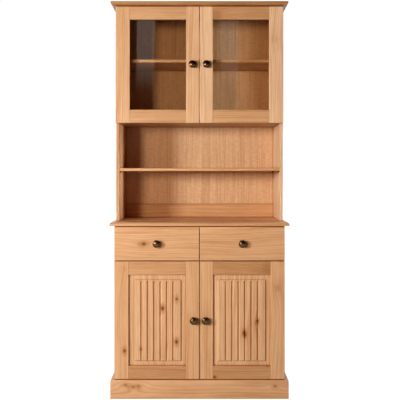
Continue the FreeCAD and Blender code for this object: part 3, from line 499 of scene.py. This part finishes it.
def split_of(name):
    """The axis and the place where a node's two boards, or a board and its odd face, meet."""
    low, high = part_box(name)
    if name in TONED_AND_SHADED_FACES:
        axis, end, depth = TONED_AND_SHADED_FACES[name]
        threshold = high[axis] - depth if end == HIGHEST else low[axis] + depth
        return axis, threshold
    for ending, axis in PAIRS.items():
        if name.endswith(ending):
            return axis, (low[axis] + high[axis]) / 2
    return None


def seed_and_tone(tree, name, seed, places):
    """A node's seed and tone: each board of a pair has its own, and an odd face its own tone, painted shade
    and light on the cornice and the counter top.
    """
    first, second = TONE_AND_SHADE_SHARES.get(name, PLAIN_TONE_SHARES)
    split = split_of(name)
    if split is None:
        return seed, first
    axis, threshold = split
    number = calc(tree, "GREATER_THAN", places[axis], threshold)
    if name not in TONED_AND_SHADED_FACES:
        seed = calc(tree, "ADD", number, seed)
    return seed, calc(tree, "MULTIPLY_ADD", number, second - first, first)


def knots_in(tree, name, places):
    """The sums of the cores, halos and pushes of a node's knots."""
    across, _, along = GRAIN_AXES[grain_of(name)]
    core, halo, push = 0.0, 0.0, 0.0
    for x, z, radius, dark in KNOTS.get(name, ()):
        away = {X: calc(tree, "SUBTRACT", places[X], x), Z: calc(tree, "SUBTRACT", places[Z], z)}
        inputs = {"Across": away[across], "Along": away[along], "Radius": radius, "Dark": dark}
        knot = shader(tree, "Group", inputs, node_tree=KNOT).outputs
        core = calc(tree, "ADD", knot["Core"], core, clamp=True)
        halo = calc(tree, "ADD", knot["Halo"], halo, clamp=True)
        push = calc(tree, "ADD", knot["Push"], push)
    return core, halo, push


def figure_of(tree, name, seed, push, places):
    """The figure of a node's wood, finer in a veneer."""
    across, deep, along = (places[axis] for axis in GRAIN_AXES[grain_of(name)])
    if name in VENEERS:
        across = calc(tree, "MULTIPLY", across, VENEER_FINENESS)
    inputs = {"Across": across, "Deep": deep, "Along": along, "Seed": seed, "Push": push}
    return shader(tree, "Group", inputs, node_tree=GRAIN).outputs


def bare_wood(tree, name, figure):
    """The colour of the wood itself, with its sapwood, rings and streaks."""
    sapwood = SAPWOOD_SHARES.get(name, 0.0)
    pale = tuple((1 - sapwood) * heart + sapwood * sap for heart, sap in zip(PINE_LIGHT, SAPWOOD))
    wood = blend(tree, calc(tree, "MULTIPLY", figure["Line"], RING_SHARE), pale, PINE_DARK)
    streaks = ramp(tree, figure["Streak"], *STREAK_RANGE)
    return blend(tree, calc(tree, "MULTIPLY", streaks, STREAK_SHARE), wood, PINE_RED)


def stained(tree, name, figure, tone, wood):
    """The wood lightened and darkened by its tone and figure, which the stain brings out."""
    shares = VENEER_SHADE_SHARES if name in VENEERS else SHADE_SHARES
    for kind, share in shares.items():
        tone = calc(tree, "MULTIPLY_ADD", figure[kind], share, tone)
    stain = {channel: calc(tree, "POWER", tone, power) for channel, power in enumerate(STAIN_POWERS)}
    return blend(tree, 1.0, wood, shader(tree, "CombineXYZ", stain).outputs[0], "MULTIPLY")


def corner_shaded(tree, wood):
    """The wood with painted shade that darkens its corners and grooves."""
    occlusion = shader(tree, "AmbientOcclusion", {"Distance": CORNER_REACH}, samples=CORNER_SAMPLES)
    corner = fall(tree, occlusion.outputs["AO"], *CORNER_RANGE)
    return blend(tree, corner, wood, blend(tree, 1.0, wood, CORNER_SHADE_TINT, "MULTIPLY"))


def lacquer(tree, figure, surface):
    """The gloss and the faint relief of lacquered wood."""
    gloss = calc(tree, "MULTIPLY_ADD", figure["Fibre"], FIBRE_ROUGHNESS, LACQUER_ROUGHNESS)
    plug(tree, surface["Roughness"], gloss)
    plug(tree, surface["Specular IOR Level"], LACQUER_SPECULAR)
    height = calc(tree, "MULTIPLY_ADD", figure["Line"], RING_RELIEF, figure["Fibre"])
    relief = {"Height": height, "Strength": RELIEF_STRENGTH, "Distance": RELIEF_HEIGHT}
    plug(tree, surface["Normal"], shader(tree, "Bump", relief).outputs[0])


def pine(name, seed):
    """Honey-coloured pine under a satin lacquer, for one node."""
    material, tree, surface = new_material(f"pine_{name}")
    places = parts_of(tree, place_of(tree))
    seed, tone = seed_and_tone(tree, name, seed, places)
    core, halo, push = knots_in(tree, name, places)
    figure = figure_of(tree, name, seed, push, places)
    wood = stained(tree, name, figure, tone, bare_wood(tree, name, figure))
    wood = blend(tree, halo, wood, KNOT_HALO)
    wood = blend(tree, core, wood, KNOT_CORE)
    # The base colour carries painted shade in corners and grooves
    plug(tree, surface["Base Color"], corner_shaded(tree, wood))
    lacquer(tree, figure, surface)
    return material


# Metal, plastic and glass

def dark_metal(name, colour, worn, roughness):
    """Metal that is brighter on its raised front, where hands rub it."""
    material, tree, surface = new_material(name)
    coords = shader(tree, "TexCoord").outputs
    rubbed = fall(tree, parts_of(tree, coords["Normal"])[Y], *WORN_RANGE)
    specks = noise(tree, coords["Object"], SPECK_FINENESS, SPECK_DETAIL)
    rubbed = calc(tree, "MULTIPLY_ADD", specks, SPECK_SHARE, rubbed, clamp=True)
    plug(tree, surface["Base Color"], blend(tree, rubbed, colour, worn))
    plug(tree, surface["Roughness"], calc(tree, "MULTIPLY_ADD", specks, GRAIN_ROUGHNESS, roughness))
    plug(tree, surface["Metallic"], 1.0)
    plug(tree, surface["Specular Tint"], DARK_METAL_EDGE)
    return material


def brushed_steel(name):
    """Plated steel with a fine brushed finish."""
    material, tree, surface = new_material(name)
    lines = noise(tree, stretched(tree, parts_of(tree, place_of(tree)), BRUSH_SCALES), detail=FINE_DETAIL)
    plug(tree, surface["Base Color"], blend(tree, share_of(tree, lines), STEEL, STEEL_BRIGHT))
    plug(tree, surface["Roughness"], calc(tree, "MULTIPLY_ADD", lines, GRAIN_ROUGHNESS, STEEL_ROUGHNESS))
    plug(tree, surface["Metallic"], 1.0)
    return material


def plastic(name):
    """Moulded plastic with a fine grain."""
    material, tree, surface = new_material(name)
    grain = noise(tree, place_of(tree), PLASTIC_FINENESS, SPECK_DETAIL)
    plug(tree, surface["Base Color"], blend(tree, share_of(tree, grain), PLASTIC, PLASTIC_DARK))
    plug(tree, surface["Roughness"], calc(tree, "MULTIPLY_ADD", grain, GRAIN_ROUGHNESS, PLASTIC_ROUGHNESS))
    return material


def clear_glass(name):
    """Float glass; light from the lamps goes through it to what stands behind."""
    material, tree, surface = new_material(name)
    plug(tree, surface["Base Color"], GLASS_TINT)
    plug(tree, surface["Transmission Weight"], 1.0)
    plug(tree, surface["IOR"], GLASS_IOR)
    smears = noise(tree, place_of(tree), SMEAR_FINENESS, FINE_DETAIL)
    roughness = calc(tree, "MULTIPLY_ADD", smears, SMEAR_ROUGHNESS, GLASS_ROUGHNESS, clamp=True)
    plug(tree, surface["Roughness"], roughness)
    rays = shader(tree, "LightPath").outputs
    lighting = calc(tree, "MAXIMUM", rays["Is Shadow Ray"], rays["Is Diffuse Ray"])
    pane = tree.nodes["Principled BSDF"].outputs[0]
    passing = shader(tree, "BsdfTransparent", {"Color": GLASS_TINT}).outputs[0]
    mixed = shader(tree, "MixShader", dict(enumerate((lighting, pane, passing)))).outputs[0]
    plug(tree, tree.nodes["Material Output"].inputs["Surface"], mixed)
    return material


# Dress the CAD nodes; what has no finish of its own is pine

finishes = {slot: dark_metal(slot, **finish) for slot, finish in DARK_METALS.items()}
finishes["steel"] = brushed_steel("steel")
finishes["catch"] = plastic("catch_plastic")
finishes["glass"] = clear_glass("glass")

for number, name in enumerate(sorted(nodes)):
    if slots[name] in finishes:
        material = finishes[slots[name]]
    else:
        material = pine(name, number * NODE_SEED_STEP)
    mesh = nodes[name].data
    mesh.materials.clear()
    mesh.materials.append(material)


# Floor, light and camera

def white_rays(tree):
    """Which rays show a white ground: those straight from the eye or through glass, and mirrored ones."""
    rays = shader(tree, "LightPath").outputs
    sharp = calc(tree, "LESS_THAN", rays["Diffuse Depth"], FIRST_BOUNCE)
    straight = calc(tree, "MULTIPLY", sharp, calc(tree, "LESS_THAN", rays["Glossy Depth"], FIRST_BOUNCE))
    through = calc(tree, "MULTIPLY", rays["Is Transmission Ray"], straight)
    mirrored = calc(tree, "MULTIPLY", rays["Is Glossy Ray"], sharp)
    return calc(tree, "MAXIMUM", rays["Is Camera Ray"], through), mirrored


def floor_glow(tree, place):
    """How brightly the floor glows at a place."""
    away = shader(tree, "VectorMath", {0: place}, operation="LENGTH").outputs["Value"]
    glow = calc(tree, "MULTIPLY_ADD", ramp(tree, away, *GLOW_RANGE), GLOW_FAR - GLOW_NEAR, GLOW_NEAR)
    beyond = []
    for part, half in zip(parts_of(tree, place), HALF_FOOTPRINT):
        beyond.append(calc(tree, "GREATER_THAN", calc(tree, "ABSOLUTE", part), half))
    return calc(tree, "MULTIPLY", glow, calc(tree, "MAXIMUM", *beyond))


def floor():
    """A pale floor that shows white to the eye and keeps the cabinet's shadow."""
    bpy.ops.mesh.primitive_plane_add(size=FLOOR_SIZE)
    plane = bpy.context.object
    plane.name = "floor"
    material, tree, surface = new_material("floor")
    place = place_of(tree)
    grain = share_of(tree, noise(tree, place, FLOOR_FINENESS))
    plug(tree, surface["Base Color"], blend(tree, grain, *FLOOR_COLOURS))
    plug(tree, surface["Roughness"], FLOOR_ROUGHNESS)
    plug(tree, surface["Emission Color"], WHITE)
    shown = calc(tree, "MAXIMUM", *white_rays(tree))
    plug(tree, surface["Emission Strength"], calc(tree, "MULTIPLY", shown, floor_glow(tree, place)))
    plane.data.materials.append(material)


def world():
    """White behind the cabinet; dim in front of it, as a studio is behind the camera."""
    made = bpy.data.worlds.new("studio")
    bpy.context.scene.world = made
    made.use_nodes = True
    tree = made.node_tree
    back = tree.nodes["Background"].inputs
    direct, mirrored = white_rays(tree)
    way = parts_of(tree, shader(tree, "TexCoord").outputs["Generated"])
    behind = ramp(tree, way[Y], *BEHIND_RANGE)
    ambient = calc(tree, "MULTIPLY_ADD", behind, BACK_LIGHT - FRONT_LIGHT, FRONT_LIGHT)
    rightward = calc(tree, "MAXIMUM", way[X], 0.0)
    ambient = calc(tree, "MULTIPLY", ambient, calc(tree, "MULTIPLY_ADD", rightward, RIGHT_BOOST, 1.0))
    white = calc(tree, "MAXIMUM", direct, calc(tree, "MULTIPLY", mirrored, behind))
    plug(tree, back["Strength"], calc(tree, "MAXIMUM", white, ambient))
    neutral = calc(tree, "MAXIMUM", direct, behind)
    plug(tree, back["Color"], blend(tree, neutral, FRONT_COLOUR, WHITE))


def flagged_panes():
    """The glass panes, for lamps whose mirror image is flagged off them."""
    panes = bpy.data.collections.new("flagged_panes")
    for name, slot in slots.items():
        if slot == "glass":
            panes.objects.link(nodes[name])
    for entry in panes.collection_objects:
        entry.light_linking.link_state = "EXCLUDE"
    return panes


def fade_out(light):
    """Let a lamp fade towards its lower end."""
    light.use_nodes = True
    tree = light.node_tree
    up = parts_of(tree, shader(tree, "NewGeometry").outputs["Parametric"])[Y]
    plug(tree, tree.nodes["Emission"].inputs["Strength"], ramp(tree, up, 0.0, STRIP_FADE))


def add_object(name, data, place, turn):
    """Put a lamp or a camera into the scene."""
    made = bpy.data.objects.new(name, data)
    made.location = place
    made.rotation_euler = turn.to_euler()
    bpy.context.collection.objects.link(made)
    return made


def lamp(name, place, target, size, power, spread=FULL_SPREAD, colour=WHITE, flagged=None):
    """A soft rectangle of light, its beam as wide as the spread in degrees."""
    light = bpy.data.lights.new(name, "AREA")
    light.shape = "RECTANGLE"
    light.size, light.size_y = size
    light.energy = power
    light.color = colour
    light.spread = math.radians(spread)
    made = add_object(name, light, place, (Vector(target) - Vector(place)).to_track_quat("-Z", "Y"))
    made.visible_camera = False
    made.light_linking.receiver_collection = flagged
    return light


def camera():
    """The camera at the photograph's viewing angle."""
    lens = bpy.data.cameras.new("camera")
    lens.lens = LENS_MM
    lens.sensor_width = SENSOR_MM
    lens.shift_x, lens.shift_y = VIEW_SHIFT
    turn = Vector(CAMERA_WAY).to_track_quat("-Z", "Z")
    bpy.context.scene.camera = add_object("camera", lens, CAMERA_PLACE, turn)


floor()
world()
panes = flagged_panes()
for name, settings in LAMPS.items():
    lamp(name, flagged=panes, **settings)
for name, settings in STRIPS.items():
    fade_out(lamp(name, **settings))
camera()
bpy.context.scene.view_settings.view_transform = "Standard"
